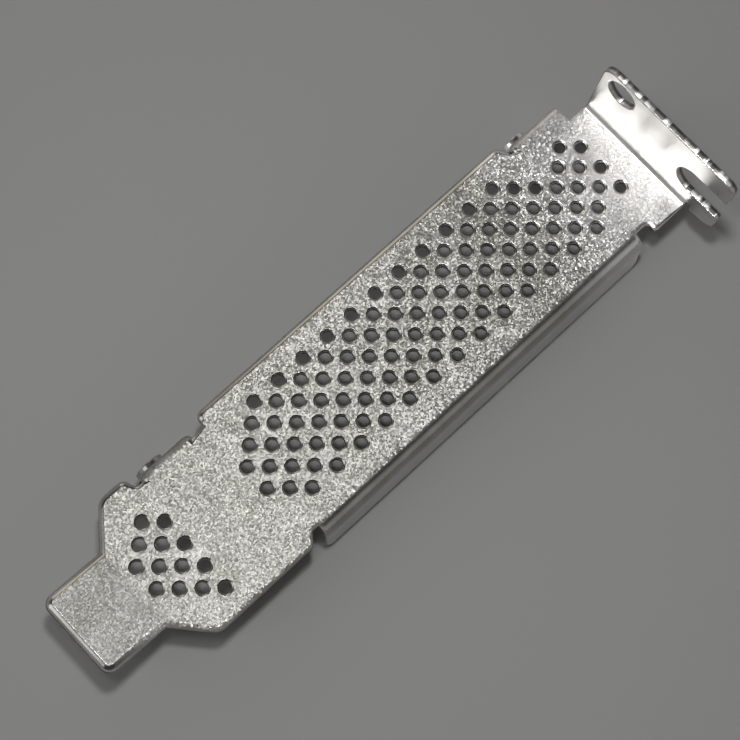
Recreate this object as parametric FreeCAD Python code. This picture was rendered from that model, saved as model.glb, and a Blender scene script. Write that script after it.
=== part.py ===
import FreeCAD, Part
import math
import os
from FreeCAD import Vector

# A low profile card bracket: one plated steel sheet, punched, perforated and folded.
# It lies on its flange and its two ears, with the outer face of the plate up.
# While it is drawn, X runs from the tongue's tip to the tab, Y runs across from the
# centre line of the plate, positive towards the ears, and Z is up from the resting surface.

# Sheet
sheet = 0.8
plate_top = 7.0
plate_bottom = plate_top - sheet

# Plate outline
plate_half_width = 9.21
tongue_fold_x = 8.0
shoulder_half_width = 5.5
chamfer_end_x = 11.2
chamfer_round = 0.8
neck_y = 6.0

# Tongue that drops into the slot at the foot of the opening
tongue_half_width = 5.1
tongue_flare = 0.3
tongue_tilt = 10.0
tongue_bend_radius = 0.6
tongue_tip_round = 1.2

# Ears that carry the card, each with an extruded and tapped boss
ear_bend_y = 7.4
ear_bend_radius = 0.2
ear_round = 1.0
ear_spans = ((15.8, 22.65), (69.1, 76.15))
boss_places = (17.7, 71.0)
boss_height = 3.1
boss_radius = 1.75
boss_reach = 0.8
boss_chamfer = 0.15
tap_radius = 1.25

# Relief notches beside the ears: the gaps from the ear to the far corner of the mouth and of
# the floor, the place of the floor, and the radii of the two corners
tail_ear_near_notch = (1.3, 0.85, 7.62, 0.6, 0.5)
tail_ear_far_notch = (1.5, 1.75, 7.6, 0.7, 0.3)
head_ear_near_notch = (0.9, 0.5, 7.5, 0.8, 0.25)

# Stiffening flange along the other side
flange_bend_y = -7.7
flange_bend_radius = 0.9
flange_start_x = 25.9
flange_end_x = 72.45
flange_round = 1.2

# Relief notches at the two ends of the flange
notch_y = -7.95
notch_round = 0.5
tail_notch_x = 25.05
tail_notch_mouth_x = 24.05
head_notch_x = 74.05

# Tab that is screwed to the chassis
tab_bend_radius = 0.4
tab_inner_x = 78.65
tab_height = 11.3
tab_near_y = neck_y
tab_near_top_y = 5.55
tab_far_y = -13.0
tab_near_round = 1.6
tab_far_round = 1.2
finger_left_y = -9.65
finger_drop = 0.8
finger_round = 1.8
screw_slot_radius = 2.21
screw_slot_rise = 5.2
screw_slot_end_y = -8.7
guide_hole_radius = 1.85
guide_hole_y = 2.7
guide_hole_rise = 8.85

# Vent holes: a staggered field, with the columns counted from the origin of the field
hole_radius = 0.75
hole_sides = 16
column_pitch = 3.46
row_pitch = 1.53
field_x = 61.0
field_y = -0.11
vent_rows = (
    (4, -9.0, 1.0),
    (3, -9.5, 1.5),
    (3, 3.5, 3.5),
    (2, -10.0, 4.0),
    (1, -10.5, 3.5),
    (0, -10.0, 4.0),
    (-1, -10.5, 3.5),
    (-2, -10.0, 4.0),
    (-3, -9.5, 2.5),
)

# Foot holes: the same stagger beside the tongue, with its own origin
foot_x = 14.7
foot_rows = (
    (3, -0.5, -0.5),
    (2, -1.0, 0.0),
    (1, -1.5, -0.5),
    (0, -1.0, 0.0),
    (-1, -1.5, -0.5),
    (-2, -1.0, 0.0),
    (-3, -0.5, -0.5),
    (-4, 0.0, 0.0),
)

tongue_lean = math.radians(tongue_tilt)
tongue_fold_reach = (tongue_bend_radius + sheet) * math.sin(tongue_lean)
tongue_length = (tongue_fold_x - tongue_fold_reach) / math.cos(tongue_lean)
ear_outer_y = ear_bend_y + ear_bend_radius + sheet
flange_outer_y = flange_bend_y - flange_bend_radius - sheet
tab_fold_x = tab_inner_x - tab_bend_radius
length = tab_inner_x + sheet


def corner_arc(before, corner, after, radius):
    """Return the two tangent points and the mid point of the arc that rounds a corner."""
    to_before = (before - corner).normalize()
    to_after = (after - corner).normalize()
    half_angle = to_before.getAngle(to_after) / 2
    middle = (to_before + to_after).normalize()
    reach = radius / math.tan(half_angle)
    centre = corner + middle * (radius / math.sin(half_angle))
    return corner + to_before * reach, centre - middle * radius, corner + to_after * reach


def rounded_face(corners):
    """Make a flat face from (point, radius) corners, with each corner rounded by its radius."""
    edges = []
    starts = []
    ends = []
    for i, (point, radius) in enumerate(corners):
        before = corners[i - 1][0]
        after = corners[(i + 1) % len(corners)][0]
        if radius > 0:
            start, middle, end = corner_arc(before, point, after, radius)
            edges.append(Part.Arc(start, middle, end).toShape())
        else:
            start, end = point, point
        starts.append(start)
        ends.append(end)
    for i, end in enumerate(ends):
        next_start = starts[(i + 1) % len(starts)]
        if end.distanceToPoint(next_start) > 1e-6:
            edges.append(Part.makeLine(end, next_start))
    return Part.Face(Part.Wire(Part.__sortEdges__(edges)))


def ear_notch(ear_end_x, away, notch):
    """Return the outline corners of a relief notch, from the plate's edge in to the fold of the ear."""
    mouth_gap, floor_gap, floor_y, mouth_round, floor_round = notch
    return [
        (ear_end_x + away * mouth_gap, plate_half_width, mouth_round),
        (ear_end_x + away * floor_gap, floor_y, floor_round),
        (ear_end_x, floor_y, 0),
        (ear_end_x, ear_bend_y, 0),
    ]


def plate():
    """Make the flat plate, with the shoulders, the relief notches and the neck of the tab."""
    tail_ear, head_ear = ear_spans
    outline = [
        (tongue_fold_x, -shoulder_half_width, 0),
        (tongue_fold_x, shoulder_half_width, 0),
        (chamfer_end_x, plate_half_width, chamfer_round),
        *ear_notch(tail_ear[0], -1, tail_ear_near_notch),
        *reversed(ear_notch(tail_ear[1], 1, tail_ear_far_notch)),
        *ear_notch(head_ear[0], -1, head_ear_near_notch),
        (head_ear[1], ear_bend_y, 0),
        (head_ear[1], neck_y, 0),
        (tab_fold_x, neck_y, 0),
        (tab_fold_x, -plate_half_width, 0),
        (head_notch_x, -plate_half_width, notch_round),
        (head_notch_x, notch_y, notch_round),
        (flange_end_x, notch_y, 0),
        (flange_end_x, flange_bend_y, 0),
        (flange_start_x, flange_bend_y, 0),
        (flange_start_x, notch_y, 0),
        (tail_notch_x, notch_y, notch_round),
        (tail_notch_mouth_x, -plate_half_width, notch_round),
        (chamfer_end_x, -plate_half_width, chamfer_round),
    ]
    corners = [(Vector(x, y, plate_bottom), radius) for x, y, radius in outline]
    return rounded_face(corners).extrude(Vector(0, 0, sheet))


def hole_places(origin_x, rows):
    """Yield the centre of each hole in a staggered field of rows."""
    for row, first, last in rows:
        y = field_y + row * row_pitch
        for step in range(int(last - first) + 1):
            yield origin_x + (first + step) * column_pitch, y


def punch(x, y):
    """Make a punch for one hole, with enough flat sides to stay within 0.02 mm of a circle."""
    points = []
    for i in range(hole_sides + 1):
        angle = 2 * math.pi * i / hole_sides
        across = Vector(math.cos(angle), math.sin(angle), 0)
        points.append(Vector(x, y, plate_bottom - sheet) + across * hole_radius)
    return Part.Face(Part.makePolygon(points)).extrude(Vector(0, 0, 3 * sheet))


def perforations():
    """Make the punches of the vent field and of the foot field."""
    places = list(hole_places(field_x, vent_rows)) + list(hole_places(foot_x, foot_rows))
    return [punch(x, y) for x, y in places]


def folded_wall(start_x, end_x, bend_y, bend_radius, side, bottom_round):
    """Fold a wall down from the plate: a quarter bend and an upright with rounded lower corners."""
    axis_z = plate_bottom - bend_radius
    section = Part.makePlane(
        end_x - start_x, sheet, Vector(start_x, bend_y, plate_top), Vector(0, 1, 0), Vector(1, 0, 0)
    )
    bend = section.revolve(Vector(0, bend_y, axis_z), Vector(1, 0, 0), -90 * side)
    inner_y = bend_y + side * bend_radius
    corners = [
        (Vector(start_x, inner_y, axis_z), 0),
        (Vector(start_x, inner_y, 0), bottom_round),
        (Vector(end_x, inner_y, 0), bottom_round),
        (Vector(end_x, inner_y, axis_z), 0),
    ]
    upright = rounded_face(corners).extrude(Vector(0, side * sheet, 0))
    return bend.fuse(upright)


def ear(span, boss_x):
    """Make an ear with its extruded boss and its tapped hole."""
    wall = folded_wall(span[0], span[1], ear_bend_y, ear_bend_radius, 1, ear_round)
    across = Vector(0, 1, 0)
    straight = boss_reach - boss_chamfer
    boss = Part.makeCylinder(boss_radius, straight, Vector(boss_x, ear_outer_y, boss_height), across)
    lip_start = Vector(boss_x, ear_outer_y + straight, boss_height)
    lip = Part.makeCone(boss_radius, boss_radius - boss_chamfer, boss_chamfer, lip_start, across)
    tap_start = Vector(boss_x, ear_outer_y - 2 * sheet, boss_height)
    tap = Part.makeCylinder(tap_radius, 4 * sheet, tap_start, across)
    return wall.fuse([boss, lip]).cut(tap)


def tongue():
    """Make the tongue, which flares into the shoulders at its fold and leans up from the plate."""
    axis_z = plate_top + tongue_bend_radius
    axis_point = Vector(tongue_fold_x, 0, axis_z)
    section_start = Vector(tongue_fold_x, -shoulder_half_width, plate_bottom)
    section = Part.makePlane(sheet, 2 * shoulder_half_width, section_start, Vector(-1, 0, 0), Vector(0, 0, 1))
    bend = section.revolve(axis_point, Vector(0, 1, 0), tongue_tilt)
    tip_x = tongue_fold_x - tongue_length
    root_x = tongue_fold_x - tongue_flare
    corners = [
        (Vector(tongue_fold_x, -shoulder_half_width, plate_bottom), 0),
        (Vector(tongue_fold_x, shoulder_half_width, plate_bottom), 0),
        (Vector(root_x, tongue_half_width, plate_bottom), 0),
        (Vector(tip_x, tongue_half_width, plate_bottom), tongue_tip_round),
        (Vector(tip_x, -tongue_half_width, plate_bottom), tongue_tip_round),
        (Vector(root_x, -tongue_half_width, plate_bottom), 0),
    ]
    blade = rounded_face(corners).extrude(Vector(0, 0, sheet))
    blade.rotate(axis_point, Vector(0, 1, 0), tongue_tilt)
    return bend.fuse(blade)


def tab():
    """Make the tab: its bend, its upright with the hanging finger, the screw slot and the guide hole."""
    axis_point = Vector(tab_fold_x, 0, plate_top + tab_bend_radius)
    section_start = Vector(tab_fold_x, neck_y, plate_bottom)
    section = Part.makePlane(sheet, neck_y + plate_half_width, section_start, Vector(1, 0, 0), Vector(0, 0, 1))
    bend = section.revolve(axis_point, Vector(0, 1, 0), -90)
    foot_z = plate_top + tab_bend_radius
    top_z = plate_top + tab_height
    finger_z = plate_top - finger_drop
    corners = [
        (Vector(tab_inner_x, tab_near_y, foot_z), 0),
        (Vector(tab_inner_x, tab_near_top_y, top_z), tab_near_round),
        (Vector(tab_inner_x, tab_far_y, top_z), tab_far_round),
        (Vector(tab_inner_x, tab_far_y, finger_z), finger_round),
        (Vector(tab_inner_x, finger_left_y, finger_z), 0),
        (Vector(tab_inner_x, finger_left_y, foot_z), 0),
    ]
    upright = rounded_face(corners).extrude(Vector(sheet, 0, 0))
    along = Vector(1, 0, 0)
    cut_x = tab_inner_x - sheet
    slot_z = plate_top + screw_slot_rise
    slot_end = Part.makeCylinder(screw_slot_radius, 3 * sheet, Vector(cut_x, screw_slot_end_y, slot_z), along)
    mouth_y = tab_far_y - sheet
    mouth_corner = Vector(cut_x, mouth_y, slot_z - screw_slot_radius)
    mouth = Part.makeBox(3 * sheet, screw_slot_end_y - mouth_y, 2 * screw_slot_radius, mouth_corner)
    hole_start = Vector(cut_x, guide_hole_y, plate_top + guide_hole_rise)
    guide_hole = Part.makeCylinder(guide_hole_radius, 3 * sheet, hole_start, along)
    return bend.fuse(upright.cut([slot_end, mouth, guide_hole]))


def bracket():
    """Join the folds to the perforated plate as one sheet."""
    flange = folded_wall(flange_start_x, flange_end_x, flange_bend_y, flange_bend_radius, -1, flange_round)
    folds = [tongue(), flange, tab()] + [ear(span, boss_x) for span, boss_x in zip(ear_spans, boss_places)]
    body = plate().cut(perforations()).fuse(folds).removeSplitter()
    body.translate(Vector(-length / 2, -(plate_half_width + tab_far_y) / 2, 0))
    return body


os.makedirs("parts", exist_ok=True)
solid = bracket()
box = solid.BoundBox
print("solids", len(solid.Solids), "valid", solid.isValid(), "volume mm3", round(solid.Volume, 1))
print("box", [round(v, 3) for v in (box.XMin, box.XMax, box.YMin, box.YMax, box.ZMin, box.ZMax)])
solid.Solids[0].exportStep("parts/bracket.step")
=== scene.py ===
import math

import bmesh
import bpy
import numpy as np
from mathutils import Matrix, Vector


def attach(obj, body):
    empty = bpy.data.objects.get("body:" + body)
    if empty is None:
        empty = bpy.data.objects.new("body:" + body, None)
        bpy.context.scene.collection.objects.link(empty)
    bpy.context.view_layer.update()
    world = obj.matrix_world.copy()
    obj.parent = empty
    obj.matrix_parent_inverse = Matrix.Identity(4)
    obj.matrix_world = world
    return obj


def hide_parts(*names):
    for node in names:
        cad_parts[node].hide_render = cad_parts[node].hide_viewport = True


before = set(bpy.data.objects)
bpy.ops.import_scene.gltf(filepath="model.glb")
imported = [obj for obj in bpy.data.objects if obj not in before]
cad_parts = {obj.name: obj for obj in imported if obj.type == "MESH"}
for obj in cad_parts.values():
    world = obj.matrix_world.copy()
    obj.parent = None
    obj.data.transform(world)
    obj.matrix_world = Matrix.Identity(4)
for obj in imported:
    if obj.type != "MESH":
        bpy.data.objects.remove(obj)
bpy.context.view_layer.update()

# The blank: the flat shape that is punched out of plated steel strip before it is folded.
# Its sizes are in millimetres, along the strip from the tongue's tip and across from the plate's
# centre line. The press rolls the rim of every cut edge over a little.

sheet = 0.8
plate_top = 7.0
plate_bottom = plate_top - sheet
plate_half_width = 9.21
right_angle = math.pi / 2


def bend_length(radius, angle=right_angle):
    """Length of sheet that a bend takes up, along the middle of its thickness."""
    return (radius + sheet / 2) * angle


tongue_fold = 8.0
tongue_half_width = 5.1
tongue_tip_round = 1.2
tongue_flare = 0.35
shoulder_end = 11.2
shoulder_round = 1.8


def shoulder(side):
    """Corners of the slope from the tongue out to the plate's edge, on one side of the centre line."""
    return [
        (tongue_fold - tongue_flare, side * tongue_half_width, 0),
        (shoulder_end, side * plate_half_width, shoulder_round),
    ]


def relief_notch(wall, away, notch):
    """Corners of the notch at one end of a folded wall, from its mouth in to the wall.

    A notch is its gaps from the wall at the mouth and at the bottom, the place of its bottom across
    the strip, and its corner radii at the mouth and at the bottom.
    """
    mouth_gap, bottom_gap, bottom, mouth_round, bottom_round = notch
    return [
        (wall + away * mouth_gap, math.copysign(plate_half_width, bottom), mouth_round),
        (wall + away * bottom_gap, bottom, bottom_round),
        (wall, bottom, 0),
    ]


ear_spans = ((15.8, 22.65), (69.1, 76.15))
ear_fold = 7.4
ear_bend_radius = 0.2
ear_end = ear_fold + bend_length(ear_bend_radius) + plate_bottom - ear_bend_radius
ear_round = 1.0
tail_notch_before = (1.3, 0.85, 7.62, 1.0, 0.5)
tail_notch_after = (1.5, 1.75, 7.6, 0.85, 0.3)
head_notch_before = (0.9, 0.5, 7.5, 1.1, 0.25)


def ear_side():
    """Corners along the side of the two ears, from the shoulder to the tab."""
    (tail_start, tail_end), (head_start, head_end) = ear_spans
    corners = relief_notch(tail_start, -1, tail_notch_before)
    corners += [(tail_start, ear_end, ear_round), (tail_end, ear_end, ear_round)]
    corners += reversed(relief_notch(tail_end, 1, tail_notch_after))
    corners += relief_notch(head_start, -1, head_notch_before)
    corners += [(head_start, ear_end, ear_round), (head_end, ear_end, ear_round)]
    return corners


tab_fold = 78.25
tab_bend_radius = 0.4
tab_straight = tab_fold + bend_length(tab_bend_radius)
tab_height = 11.3
tab_near = 6.0
tab_near_top = 5.55
tab_near_round = 1.6
tab_foot_round = 0.15
tab_far = -13.0
tab_far_round = 1.2
tab_relief = -9.65
tab_relief_round = 0.1
finger_drop = 0.8
finger_round = 1.8
finger_root_round = 0.3
screw_slot_radius = 2.21
screw_slot_rise = 5.2
screw_slot_centre = -8.7
screw_slot_mouth_round = 0.35


def tab_station(rise):
    """Place along the blank of a point on the tab at this height above the plate."""
    return tab_straight + rise - tab_bend_radius


def tab_outline():
    """Corners of the tab and of its hanging finger, from the head ear to the flange side."""
    top = tab_station(tab_height)
    finger_end = tab_station(-finger_drop)
    slot_low = tab_station(screw_slot_rise - screw_slot_radius)
    slot_high = tab_station(screw_slot_rise + screw_slot_radius)
    slot_bottom = screw_slot_centre + screw_slot_radius
    # A hair under the half circle, so that its two arcs keep apart
    slot_round = screw_slot_radius - 0.001
    return [
        (ear_spans[1][1], tab_near, tab_foot_round),
        (tab_straight, tab_near, 0),
        (top, tab_near_top, tab_near_round),
        (top, tab_far, tab_far_round),
        (slot_high, tab_far, screw_slot_mouth_round),
        (slot_high, slot_bottom, slot_round),
        (slot_low, slot_bottom, slot_round),
        (slot_low, tab_far, screw_slot_mouth_round),
        (finger_end, tab_far, finger_round),
        (finger_end, tab_relief, finger_root_round),
        (tab_straight, tab_relief, tab_relief_round),
        (tab_straight, -plate_half_width, tab_relief_round),
    ]


flange_span = (25.9, 72.45)
flange_fold = -7.45
flange_bend_radius = 1.15
flange_turn = math.radians(86.0)
flange_straight = flange_fold - bend_length(flange_bend_radius, flange_turn)
flange_drop = plate_bottom - flange_bend_radius * (1 - math.cos(flange_turn))
flange_end = flange_straight - flange_drop / math.sin(flange_turn)
flange_round = 1.2
flange_notch_before = (1.85, 0.85, -7.95, 0.5, 0.5)
flange_notch_after = (1.6, 1.6, -7.95, 0.5, 0.5)


def flange_side():
    """Corners along the side of the flange, from the tab back to the shoulder."""
    start, end = flange_span
    corners = relief_notch(end, 1, flange_notch_after)
    corners += [(end, flange_end, flange_round), (start, flange_end, flange_round)]
    corners += reversed(relief_notch(start, -1, flange_notch_before))
    return corners


def blank_corners():
    """Corners of the blank, as (along, across, radius), clockwise from the tongue's tip."""
    corners = [(0.0, -tongue_half_width, tongue_tip_round), (0.0, tongue_half_width, tongue_tip_round)]
    corners += shoulder(1) + ear_side() + tab_outline() + flange_side()
    corners += reversed(shoulder(-1))
    return corners


# How the outline is rolled over on each side, as (place along, reach inwards, depth)
ear_side_roll = ((0.0, 0.72, 0.61), (1.2, 0.72, 0.55), (1.8, 0.80, 0.50), (7.0, 0.80, 0.50),
                 (9.0, 0.62, 0.40), (tab_fold, 0.62, 0.40), (tab_straight, 0.14, 0.09))
flange_side_roll = ((0.0, 0.72, 0.61), (1.2, 0.80, 0.55), (1.8, 1.00, 0.42), (7.0, 1.00, 0.40),
                    (9.0, 0.60, 0.28), (tab_fold, 0.50, 0.25), (tab_straight, 0.12, 0.07))
flange_side_shine = ((1.0, 1.0), (2.0, 0.2), (flange_span[1], 0.2), (tab_fold, 1.0))


def read_table(table, place):
    """Values of a table at one place along the strip, between its rows."""
    places, *columns = zip(*table)
    return [float(np.interp(place, places, column)) for column in columns]


def edge_roll(along, across):
    """Reach and depth of the outline's roll at one place, and how bright it is rubbed there."""
    if across > 0:
        return *read_table(ear_side_roll, along), 1.0
    return *read_table(flange_side_roll, along), *read_table(flange_side_shine, along)


def rounded_outline(corners, arc_step=math.radians(8)):
    """Points of a closed outline, as (along, across, roll, sink, shine), with arcs at its corners."""
    points = []
    for i, (x, y, radius) in enumerate(corners):
        corner = Vector((x, y))
        if radius == 0:
            points.append((x, y, *edge_roll(x, y)))
            continue
        to_before = (Vector(corners[i - 1][:2]) - corner).normalized()
        to_after = (Vector(corners[(i + 1) % len(corners)][:2]) - corner).normalized()
        half_angle = to_before.angle(to_after) / 2
        reach = radius / math.tan(half_angle)
        centre = corner + (to_before + to_after).normalized() * (radius / math.sin(half_angle))
        start = corner + to_before * reach - centre
        end = corner + to_after * reach - centre
        sweep = math.atan2(start.x * end.y - start.y * end.x, start.dot(end))
        steps = max(3, math.ceil(abs(sweep) / arc_step))
        for k in range(steps + 1):
            place = centre + Matrix.Rotation(sweep * k / steps, 2) @ start
            roll, sink, rubbed_shine_and_painted_light = edge_roll(place.x, place.y)
            # On a tight corner the roll stays narrower than the corner's own radius
            share = min(1.0, 0.8 * radius / roll)
            points.append((place.x, place.y, roll * share, sink * share, rubbed_shine_and_painted_light))
    return points


vent_radius = 0.67
vent_rim_size = (0.2, 0.085)
vent_column = 3.46
vent_row = 1.53
vent_middle = -0.11
# Each field has an origin along the strip and rows, as (row, first column, last column)
vent_origin = 61.0
vent_rows = ((4, -9.0, 1.0), (3, -9.5, 1.5), (3, 3.5, 3.5), (2, -10.0, 4.0), (1, -10.5, 3.5),
             (0, -10.0, 4.0), (-1, -10.5, 3.5), (-2, -10.0, 4.0), (-3, -9.5, 2.5))
foot_origin = 14.7
foot_rows = ((3, -0.5, -0.5), (2, -1.0, 0.0), (1, -1.5, -0.5), (0, -1.0, 0.0),
             (-1, -1.5, -0.5), (-2, -1.0, 0.0), (-3, -0.5, -0.5), (-4, 0.0, 0.0))


def vent_places(origin, rows):
    """Yield the middle of each vent in a staggered field."""
    for row, first, last in rows:
        for step in range(int(last - first) + 1):
            yield origin + (first + step) * vent_column, vent_middle + row * vent_row


def round_hole(along, across, radius, rim_size, sides=32):
    """Points of a round hole in the blank, as (along, across, roll, sink, shine)."""
    points = []
    for k in range(sides):
        angle = 2 * math.pi * k / sides
        points.append((along + radius * math.cos(angle), across + radius * math.sin(angle), *rim_size, 1.0))
    return points


# Rims from the flat face out to the cut, as (share of the roll's reach, share of its depth)
rolled_rim = ((1.0, 0.0), (0.9, 0.02), (0.8, 0.06), (0.65, 0.14), (0.45, 0.26), (0.25, 0.42),
              (0.14, 0.56), (0.06, 0.74), (0.0, 1.0))
dished_rim = ((1.0, 0.0), (0.9, 0.05), (0.75, 0.19), (0.5, 0.45), (0.25, 0.71), (0.1, 0.87), (0.0, 1.0))

guide_hole_rise = 8.85
guide_hole_across = 2.7
guide_hole_radius = 1.85
guide_hole_rim_size = (0.15, 0.09)
boss_places = (17.7, 71.0)
boss_height = 3.1
boss_hole_radius = 1.6
boss_hole_rim_size = (0.05, 0.05)


def punched_holes():
    """Every hole in the blank, as its points and the shape of its rim."""
    holes = []
    for origin, rows in ((vent_origin, vent_rows), (foot_origin, foot_rows)):
        for along, across in vent_places(origin, rows):
            holes.append((round_hole(along, across, vent_radius, vent_rim_size), dished_rim))
    guide_along = tab_station(guide_hole_rise)
    guide = round_hole(guide_along, guide_hole_across, guide_hole_radius, guide_hole_rim_size, sides=64)
    holes.append((guide, rolled_rim))
    for along in boss_places:
        boss_hole = round_hole(along, ear_end - boss_height, boss_hole_radius, boss_hole_rim_size, sides=48)
        holes.append((boss_hole, rolled_rim))
    return holes


def cut_section(rim):
    """Section of a cut edge: (share of the roll, inset beyond it, share of its depth, drop beyond it)."""
    flat_margin = 0.04
    lower_round = 0.05
    section = [(1.0, flat_margin, 0.0, 0.0)]
    section += [(roll_share, 0.0, sink_share, 0.0) for roll_share, sink_share in rim]
    section.append((0.0, 0.0, 0.0, sheet - 2 * lower_round))
    for k in range(4):
        turn = right_angle * k / 3
        inset = lower_round * (1 - math.cos(turn))
        section.append((0.0, inset, 0.0, sheet - lower_round + lower_round * math.sin(turn)))
    section.append((0.0, 2 * lower_round, 0.0, sheet))
    return section


def cut_edge_rows(blank, loop, rim):
    """Make the rolled and sheared wall along one cut, and return its top and bottom edges."""
    burnish = blank.verts.layers.float["burnish"]
    points = np.array(loop)
    places, roll, sink = points[:, :2], points[:, 2:3], points[:, 3]
    run = np.roll(places, -1, axis=0) - places
    run /= np.linalg.norm(run, axis=1, keepdims=True)
    after = np.stack([run[:, 1], -run[:, 0]], axis=1)
    before = np.roll(after, 1, axis=0)
    inward = (after + before) / (1 + (after * before).sum(axis=1, keepdims=True))
    rows = []
    for roll_share, inset, sink_share, drop in cut_section(rim):
        flat = places + inward * (roll * roll_share + inset)
        sunk = -(sink * sink_share + drop)
        row = [blank.verts.new((x, y, sheet / 2 + z)) for (x, y), z in zip(flat, sunk)]
        is_rubbed = inset == 0.0 and roll_share < 1.0
        for vert, rubbed_shine_and_painted_light in zip(row, points[:, 4]):
            vert[burnish] = rubbed_shine_and_painted_light if is_rubbed else 0.0
        rows.append(row)
    for first, second in zip(rows, rows[1:]):
        for k in range(len(first)):
            blank.faces.new((first[k - 1], first[k], second[k], second[k - 1]))
    rims = []
    for row in (rows[0], rows[-1]):
        rims.append([blank.edges.get((row[k - 1], row[k])) for k in range(len(row))])
    return rims


def punched_blank():
    """Punch the blank out as a flat mesh, with the rim of every cut rolled over."""
    blank = bmesh.new()
    blank.verts.layers.float.new("burnish")
    top, bottom = [], []
    for loop, rim in [(rounded_outline(blank_corners()), rolled_rim)] + punched_holes():
        top_rim, bottom_rim = cut_edge_rows(blank, loop, rim)
        top += top_rim
        bottom += bottom_rim
    bmesh.ops.triangle_fill(blank, use_beauty=True, edges=top)
    bmesh.ops.triangle_fill(blank, use_beauty=True, edges=bottom)
    return blank


# The bracket: the blank folded in a press tool, in steel with a thin bright plating. The tongue
# leans up, the ears go down, the flange goes down and stays a little open, and the tab goes up square.

tongue_tilt = math.radians(10.0)
tongue_bend_radius = 0.6


def score(blank, along, place):
    """Cut the flat mesh across at one line, so that it can bend there."""
    normal = (1, 0, 0) if along else (0, 1, 0)
    point = (place, 0, 0) if along else (0, place, 0)
    everything = blank.verts[:] + blank.edges[:] + blank.faces[:]
    bmesh.ops.bisect_plane(blank, geom=everything, plane_co=point, plane_no=normal, dist=1e-5)


def score_bends(blank, bend_steps=9, lead=0.05):
    """Score the flat mesh across every bend, and just before and after it."""
    for share in [-lead] + [k / bend_steps for k in range(bend_steps + 1)] + [1 + lead]:
        score(blank, False, ear_fold + share * bend_length(ear_bend_radius))
        score(blank, False, flange_fold - share * bend_length(flange_bend_radius, flange_turn))
        score(blank, True, tab_fold + share * bend_length(tab_bend_radius))
        score(blank, True, tongue_fold - share * bend_length(tongue_bend_radius, tongue_tilt))


def roll_over(distance, depth, radius, angle):
    """Fold a run of sheet away from its inner side.

    distance is measured from the start of the bend and depth from the inner face. The answer
    is how far the point goes out and how far it goes round towards the inner side.
    """
    turned = np.clip(distance / (radius + sheet / 2), 0, angle)
    past = distance - turned * (radius + sheet / 2)
    reach = radius + depth
    out = reach * np.sin(turned) + past * np.cos(turned)
    drop = radius - reach * np.cos(turned) + past * np.sin(turned)
    return out, drop


def fold(flat):
    """Return where each point of the flat blank lies on the folded bracket, in millimetres."""
    along, across, height = flat[:, 0], flat[:, 1], flat[:, 2] + sheet / 2
    folded = np.stack([along, across, plate_bottom + height], axis=1)
    slack = 0.01

    def between(span):
        return (along > span[0] - slack) & (along < span[1] + slack)

    for span in ear_spans:
        ear = between(span) & (across > ear_fold)
        out, drop = roll_over(across[ear] - ear_fold, height[ear], ear_bend_radius, right_angle)
        folded[ear, 1] = ear_fold + out
        folded[ear, 2] = plate_bottom - drop
    flange = between(flange_span) & (across < flange_fold)
    out, drop = roll_over(flange_fold - across[flange], height[flange], flange_bend_radius, flange_turn)
    folded[flange, 1] = flange_fold - out
    folded[flange, 2] = plate_bottom - drop
    tab = (along > tab_fold) & (across > tab_relief + slack)
    out, drop = roll_over(along[tab] - tab_fold, sheet - height[tab], tab_bend_radius, right_angle)
    folded[tab, 0] = tab_fold + out
    folded[tab, 2] = plate_top + drop
    finger = (along > tab_fold) & (across <= tab_relief + slack)
    folded[finger, 0] = tab_fold + tab_bend_radius + sheet - height[finger]
    folded[finger, 2] = plate_top + tab_bend_radius + along[finger] - tab_straight
    tongue = along < tongue_fold
    past_fold = tongue_fold - along[tongue]
    out, drop = roll_over(past_fold, sheet - height[tongue], tongue_bend_radius, tongue_tilt)
    folded[tongue, 0] = tongue_fold - out
    folded[tongue, 2] = plate_top + drop
    return folded


ear_rub_start = 0.35
ear_rub_fade = 0.3
flange_rub_start = 0.25
flange_rub_fade = 0.5


def rubbed(along, across):
    """How far the press tool has rubbed the grain flat, on the ears and the flange below their bends."""
    past = 0.0
    if any(start <= along <= end for start, end in ear_spans):
        past = (across - ear_fold - ear_rub_start) / ear_rub_fade
    if flange_span[0] <= along <= flange_span[1]:
        past = max(past, (flange_fold - across - flange_rub_start) / flange_rub_fade)
    return min(1.0, max(0.0, past))


mm = 0.001
sheared_slope = 0.3
length = tab_fold + tab_bend_radius + sheet
middle = Vector((length / 2, (plate_half_width + tab_far) / 2, 0))


def fold_blank():
    """Fold the punched blank into the bracket's mesh, in metres and in the frame of the model."""
    blank = punched_blank()
    score_bends(blank)
    bmesh.ops.triangulate(blank, faces=[f for f in blank.faces if len(f.verts) > 4])
    bmesh.ops.recalc_face_normals(blank, faces=blank.faces)
    blank.normal_update()
    strip = blank.verts.layers.float_vector.new("strip")
    cut_edge = blank.faces.layers.float.new("cut_edge")
    for face in blank.faces:
        face.smooth = True
        face[cut_edge] = 1.0 if abs(face.normal.z) < sheared_slope else 0.0
    burnish = blank.verts.layers.float["burnish"]
    flat = np.array([v.co for v in blank.verts])
    places = (fold(flat) - np.array(middle)) * mm
    for vert, place in zip(blank.verts, places):
        vert[burnish] = max(vert[burnish], rubbed(vert.co.x, vert.co.y))
        vert[strip] = vert.co
        vert.co = place
    mesh = bpy.data.meshes.new("bracket_sheet")
    blank.to_mesh(mesh)
    blank.free()
    return mesh


# The plating's colour runs between these two: the first is the plating darkened with painted shade, the
# second is the plating lightened with painted light. The random cloudy tone also moves between them.
plating_with_painted_shade = (0.34, 0.336, 0.308, 1)
plating_with_painted_light = (0.88, 0.865, 0.85, 1)
torn_steel = (0.10, 0.10, 0.095, 1)
rubbed_roughness = 0.2
sheared_roughness = 0.42
least_wear = 0.03
crystal_lean = 0.4
striation_lean = 0.5
wave_height = 0.06 * mm
rolling_line_share = 0.3


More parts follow.
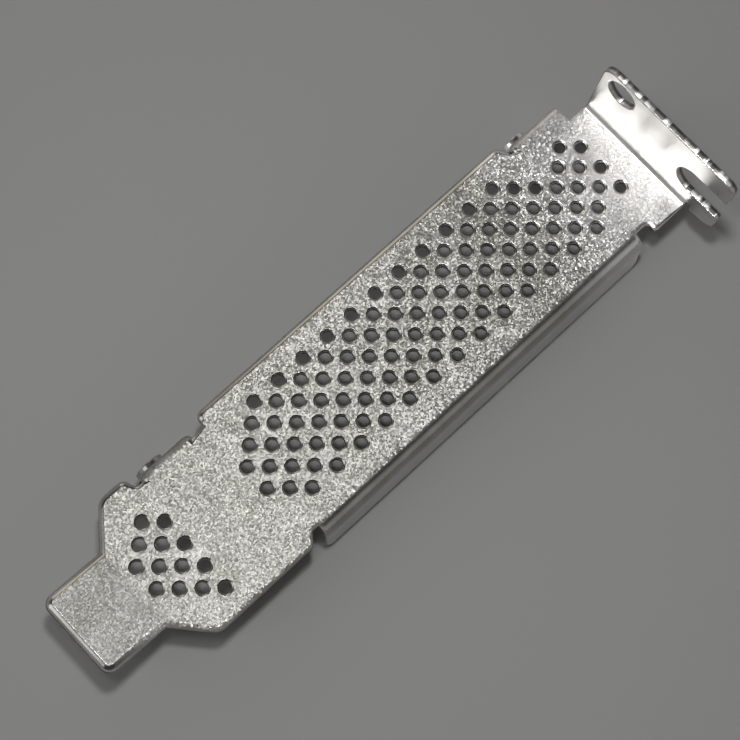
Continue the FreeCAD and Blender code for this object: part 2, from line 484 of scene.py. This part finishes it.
def plated_steel():
    """Bright plating under a clear film: fine crystals, faint rolling lines and cloudy patches, with
    painted light and shade along the strip in its colour.
    """
    material = bpy.data.materials.new("plated_steel")
    material.use_nodes = True
    nodes, links = material.node_tree.nodes, material.node_tree.links
    shader = nodes["Principled BSDF"]
    shader.inputs["Metallic"].default_value = 1.0
    shader.inputs["Coat Weight"].default_value = 1.0
    shader.inputs["Coat Roughness"].default_value = 0.3

    def feed(socket, value):
        """Link a socket to the output of another node, or set it to a plain value."""
        if isinstance(value, bpy.types.NodeSocket):
            links.new(value, socket)
        else:
            socket.default_value = value

    def attribute(name, output):
        """A value that is stored on the mesh."""
        node = nodes.new("ShaderNodeAttribute")
        node.attribute_name = name
        return node.outputs[output]

    def maths(operation, a, b):
        """One step of arithmetic on two values."""
        node = nodes.new("ShaderNodeMath")
        node.operation = operation
        feed(node.inputs[0], a)
        feed(node.inputs[1], b)
        return node.outputs[0]

    def vectors(operation, a, b):
        """One step of arithmetic on two vectors, or on a vector and a scale."""
        node = nodes.new("ShaderNodeVectorMath")
        node.operation = operation
        feed(node.inputs[0], a)
        feed(node.inputs["Scale" if operation == "SCALE" else 1], b)
        return node.outputs[0]

    def mix(kind, factor, a, b):
        """A blend from the first value to the second."""
        node = nodes.new("ShaderNodeMix")
        node.data_type = kind
        feed(node.inputs["Factor"], factor)
        feed(node.inputs["A"], a)
        feed(node.inputs["B"], b)
        return node.outputs["Result"]

    def spread_to(value, low, high, start, end):
        """A value that goes from low to high while the given one goes from start to end."""
        ramp = nodes.new("ShaderNodeMapRange")
        for name, number in (("From Min", start), ("From Max", end), ("To Min", low), ("To Max", high)):
            ramp.inputs[name].default_value = number
        links.new(value, ramp.inputs["Value"])
        return ramp.outputs["Result"]

    strip = attribute("strip", "Vector")
    burnish = attribute("burnish", "Fac")
    sheared = attribute("cut_edge", "Fac")
    split = nodes.new("ShaderNodeSeparateXYZ")
    links.new(strip, split.inputs[0])

    def noise(scale, detail, stretch=(1, 1, 1)):
        """Soft random patches on the strip."""
        texture = nodes.new("ShaderNodeTexNoise")
        texture.inputs["Scale"].default_value = scale
        texture.inputs["Detail"].default_value = detail
        links.new(vectors("MULTIPLY", strip, stretch), texture.inputs["Vector"])
        return texture.outputs["Fac"]

    def leaning_cells(scale, stretch, amount):
        """A random lean for each small cell of the surface."""
        texture = nodes.new("ShaderNodeTexVoronoi")
        texture.inputs["Scale"].default_value = scale
        links.new(vectors("MULTIPLY", strip, stretch), texture.inputs["Vector"])
        return vectors("SCALE", vectors("SUBTRACT", texture.outputs["Color"], (0.5, 0.5, 0.5)), amount)

    def along_strip(*stops):
        """A value that changes along the strip, from (place, value) stops."""
        end = stops[-1][0]
        ramp = nodes.new("ShaderNodeValToRGB")
        for k, (place, value) in enumerate(stops):
            stop = ramp.color_ramp.elements[k] if k < 2 else ramp.color_ramp.elements.new(place / end)
            stop.position = place / end
            stop.color = (value, value, value, 1)
        links.new(maths("DIVIDE", split.outputs["X"], end), ramp.inputs["Fac"])
        return ramp.outputs["Color"]

    plain = maths("SUBTRACT", 1.0, burnish)
    depth = along_strip((0.0, 0.9), (7.6, 0.9), (8.4, 1.0), (64.0, 1.0), (73.0, 0.5), (77.8, 0.4),
                        (79.0, 0.1), (100.0, 0.1))
    wear = maths("MAXIMUM", maths("MULTIPLY", plain, depth), least_wear)
    rolling_lines = noise(scale=1.0, detail=2.0, stretch=(0.6, 7.0, 7.0))
    faint_lines = maths("MULTIPLY", rolling_lines, rolling_line_share)
    wave = maths("ADD", noise(scale=2.6, detail=2.0), faint_lines)
    bump = nodes.new("ShaderNodeBump")
    bump.inputs["Distance"].default_value = wave_height
    links.new(wear, bump.inputs["Strength"])
    links.new(wave, bump.inputs["Height"])
    crystal_amount = maths("MULTIPLY", wear, crystal_lean)
    crystals = leaning_cells(scale=5.5, stretch=(1, 1, 1), amount=crystal_amount)
    striation_amount = maths("MULTIPLY", sheared, striation_lean)
    striations = leaning_cells(scale=2.4, stretch=(1, 1, 0.04), amount=striation_amount)
    lean = vectors("ADD", bump.outputs["Normal"], vectors("ADD", crystals, striations))
    grain = vectors("NORMALIZE", lean, (0, 0, 0))
    links.new(grain, shader.inputs["Normal"])
    links.new(grain, shader.inputs["Coat Normal"])

    cloud = noise(scale=0.22, detail=4.0)
    satin = along_strip((0.0, 0.64), (7.6, 0.64), (8.4, 0.5), (62.0, 0.5), (76.0, 0.4), (79.0, 0.3),
                        (100.0, 0.3))
    satin_clouds = spread_to(cloud, low=-0.03, high=0.03, start=0.3, end=0.7)
    cloudy_satin = maths("ADD", satin, satin_clouds)
    polish = mix("FLOAT", plain, rubbed_roughness, cloudy_satin)
    roughness = maths("MAXIMUM", polish, maths("MULTIPLY", sheared, sheared_roughness))
    links.new(roughness, shader.inputs["Roughness"])

    # Painted light along the strip, in the plating's colour. It is darkest across the middle of the plate,
    # as painted shade where the lamps' highlight falls off. It is lightest on the plate's end by the tab
    # and lighter on the tab too, as a painted reflection of the light thrown back in the corner between
    # them. It is a little lighter on the tongue. Random cloudy patches of tone are added on top.
    rubbed_shine_and_painted_light = along_strip((0.0, 0.15), (7.6, 0.15), (8.4, 0.05), (62.0, 0.05), (72.0, 0.9), (77.8, 0.95),
                        (79.2, 0.55), (100.0, 0.55))
    shine_clouds = spread_to(cloud, low=-0.15, high=0.15, start=0.35, end=0.65)
    painted_light_and_cloudy_tone = maths("ADD", rubbed_shine_and_painted_light, shine_clouds)
    plating_colour_with_painted_light = mix("RGBA", painted_light_and_cloudy_tone, plating_with_painted_shade, plating_with_painted_light)
    towards_break = spread_to(split.outputs["Z"], low=0.9, high=0.0, start=-0.1, end=0.08)
    torn = maths("MULTIPLY", sheared, towards_break)
    links.new(mix("RGBA", torn, plating_colour_with_painted_light, torn_steel), shader.inputs["Base Color"])
    return material


def add_object(name, data):
    """Put an object with this data into the scene."""
    added = bpy.data.objects.new(name, data)
    bpy.context.scene.collection.objects.link(added)
    return added


bracket = add_object("bracket_sheet", fold_blank())
steel = plated_steel()
bracket.data.materials.append(steel)
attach(bracket, "root")
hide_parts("bracket")

# The bosses: a collar drawn out of each ear by a punch and then tapped for a 3 mm screw.
# They are the ear's own steel, and each flares into the ear at its root.

ear_inner = ear_fold + ear_bend_radius
boss_radius = 1.75
boss_reach = 0.8
bore_radius = 1.26
thread_pitch = 0.5
thread_depth = 0.24
thread_start = 0.24
thread_stop = 0.16
# The mouth of the bore, as (radius, distance from the ear's inner face)
bore_mouth = ((1.72, 0.06), (1.62, 0.02), (1.55, 0.08), (1.5, 0.2))
# The lip at the tip, as (radius, distance below the tip)
tip_lip = ((1.53, 0.08), (1.58, 0.02), (1.63, 0.0), (1.68, 0.02), (1.73, 0.07), (boss_radius, 0.16))
# The flare at the root, as (added radius, distance past the ear's outer face)
root_flare = ((0.0, 0.3), (0.03, 0.16), (0.1, 0.06), (0.24, -0.005), (0.3, -0.06))


def boss_profile(thread_rows=44):
    """Outline of the collar as (radius, distance from the ear's inner face), None in the thread."""
    tip = sheet + boss_reach
    thread_length = tip - thread_start - thread_stop
    outline = list(bore_mouth)
    outline += [(None, thread_start + thread_length * k / thread_rows) for k in range(thread_rows + 1)]
    outline += [(radius, tip - below) for radius, below in tip_lip]
    outline += [(boss_radius + wider, sheet + past) for wider, past in root_flare]
    return outline


def tapped_boss(name, along, sides=64):
    """Turn one collar about its bore, with the thread cut as a helix."""
    collar = bmesh.new()
    strip = collar.verts.layers.float_vector.new("strip")
    burnish = collar.verts.layers.float.new("burnish")
    rows = []
    for radius, out in boss_profile():
        row = []
        for k in range(sides):
            angle = 2 * math.pi * k / sides
            reach = radius
            if radius is None:
                phase = (out / thread_pitch + k / sides) % 1.0
                reach = bore_radius + thread_depth * abs(2 * phase - 1)
            sideways = reach * math.cos(angle)
            upwards = reach * math.sin(angle)
            place = Vector((along + sideways, ear_inner + out, boss_height + upwards))
            vert = collar.verts.new((place - middle) * mm)
            vert[strip] = (along + boss_hole_radius * angle, 2 * out, 0)
            vert[burnish] = 1.0
            row.append(vert)
        rows.append(row)
    for first, second in zip(rows, rows[1:]):
        for k in range(sides):
            after = (k + 1) % sides
            face = collar.faces.new((first[k], first[after], second[after], second[k]))
            face.smooth = True
    bmesh.ops.recalc_face_normals(collar, faces=collar.faces)
    mesh = bpy.data.meshes.new(name)
    collar.to_mesh(mesh)
    collar.free()
    mesh.materials.append(steel)
    boss = add_object(name, mesh)
    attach(boss, "root")


tapped_boss("tail_ear_boss", boss_places[0])
tapped_boss("head_ear_boss", boss_places[1])

# The stage: a plain grey floor in a room with pale walls and a dark ceiling. Two small lamps above
# the bracket give the main light, and two larger ones stand for a window and a warm wall.

floor_reach = 3.0
floor_corners = [(-floor_reach, -floor_reach, 0), (floor_reach, -floor_reach, 0),
                 (floor_reach, floor_reach, 0), (-floor_reach, floor_reach, 0)]
floor_mesh = bpy.data.meshes.new("floor")
floor_mesh.from_pydata(floor_corners, [], [(0, 1, 2, 3)])
floor = add_object("floor", floor_mesh)
paper = bpy.data.materials.new("floor_paper")
paper.use_nodes = True
paper_shader = paper.node_tree.nodes["Principled BSDF"]
paper_shader.inputs["Base Color"].default_value = (0.32, 0.32, 0.316, 1)
paper_shader.inputs["Roughness"].default_value = 0.8
floor_mesh.materials.append(paper)


def soft_lamp(name, place, size, power, color=(1.0, 1.0, 1.0)):
    """Hang a round soft lamp that faces the middle of the plate."""
    light = bpy.data.lights.new(name, "AREA")
    light.shape = "DISK"
    light.size = size
    light.energy = power
    light.color = color
    lamp = add_object(name, light)
    lamp.location = place
    aim = Vector((0, 0, plate_top * mm)) - Vector(place)
    lamp.rotation_euler = aim.to_track_quat("-Z", "Y").to_euler()


soft_lamp("key_lamp", (0.0, 0.0085, 0.212), size=0.022, power=0.15)
soft_lamp("fill_lamp", (-0.040, 0.004, 0.208), size=0.03, power=0.045)
soft_lamp("window_lamp", (-0.32, 0.18, 0.40), size=0.28, power=0.28)
soft_lamp("wall_lamp", (0.14, 0.38, 0.30), size=0.20, power=0.09, color=(1.0, 0.93, 0.78))

wall_top = 0.40
wall_light = 0.38
ceiling_edge = 0.75
ceiling_light = 0.03
world = bpy.data.worlds.new("room")
world.use_nodes = True
room_nodes = world.node_tree.nodes
room_links = world.node_tree.links
direction = room_nodes.new("ShaderNodeTexCoord")
height = room_nodes.new("ShaderNodeSeparateXYZ")
room_links.new(direction.outputs["Generated"], height.inputs[0])
fade = room_nodes.new("ShaderNodeMapRange")
fade.interpolation_type = "SMOOTHSTEP"
fade.inputs["From Min"].default_value = wall_top
fade.inputs["From Max"].default_value = ceiling_edge
fade.inputs["To Min"].default_value = wall_light
fade.inputs["To Max"].default_value = ceiling_light
room_links.new(height.outputs["Z"], fade.inputs["Value"])
room_links.new(fade.outputs["Result"], room_nodes["Background"].inputs["Strength"])
room_nodes["Background"].inputs["Color"].default_value = (1.0, 0.99, 0.97, 1)
bpy.context.scene.world = world

# The camera: it looks down on the bracket from above the tongue, with the tongue at the lower left.
# Its place, its turn and its lens were worked out from the lattice of the vents.

camera_data = bpy.data.cameras.new("camera")
camera_data.sensor_width = 36.0
camera_data.lens = 93.26
camera = add_object("camera", camera_data)
eye = Vector((-39.45, -27.472, 200.486)) * mm
look_at = Vector((1.275, 2.255, 7.0)) * mm
heading = math.radians(46.64)
back = (eye - look_at).normalized()
right = Vector((math.cos(heading), math.sin(heading), 0)).cross(back).normalized()
up = back.cross(right)
camera.matrix_world = Matrix.Translation(eye) @ Matrix((right, up, back)).transposed().to_4x4()
bpy.context.scene.camera = camera
bpy.context.scene.view_settings.view_transform = "Standard"
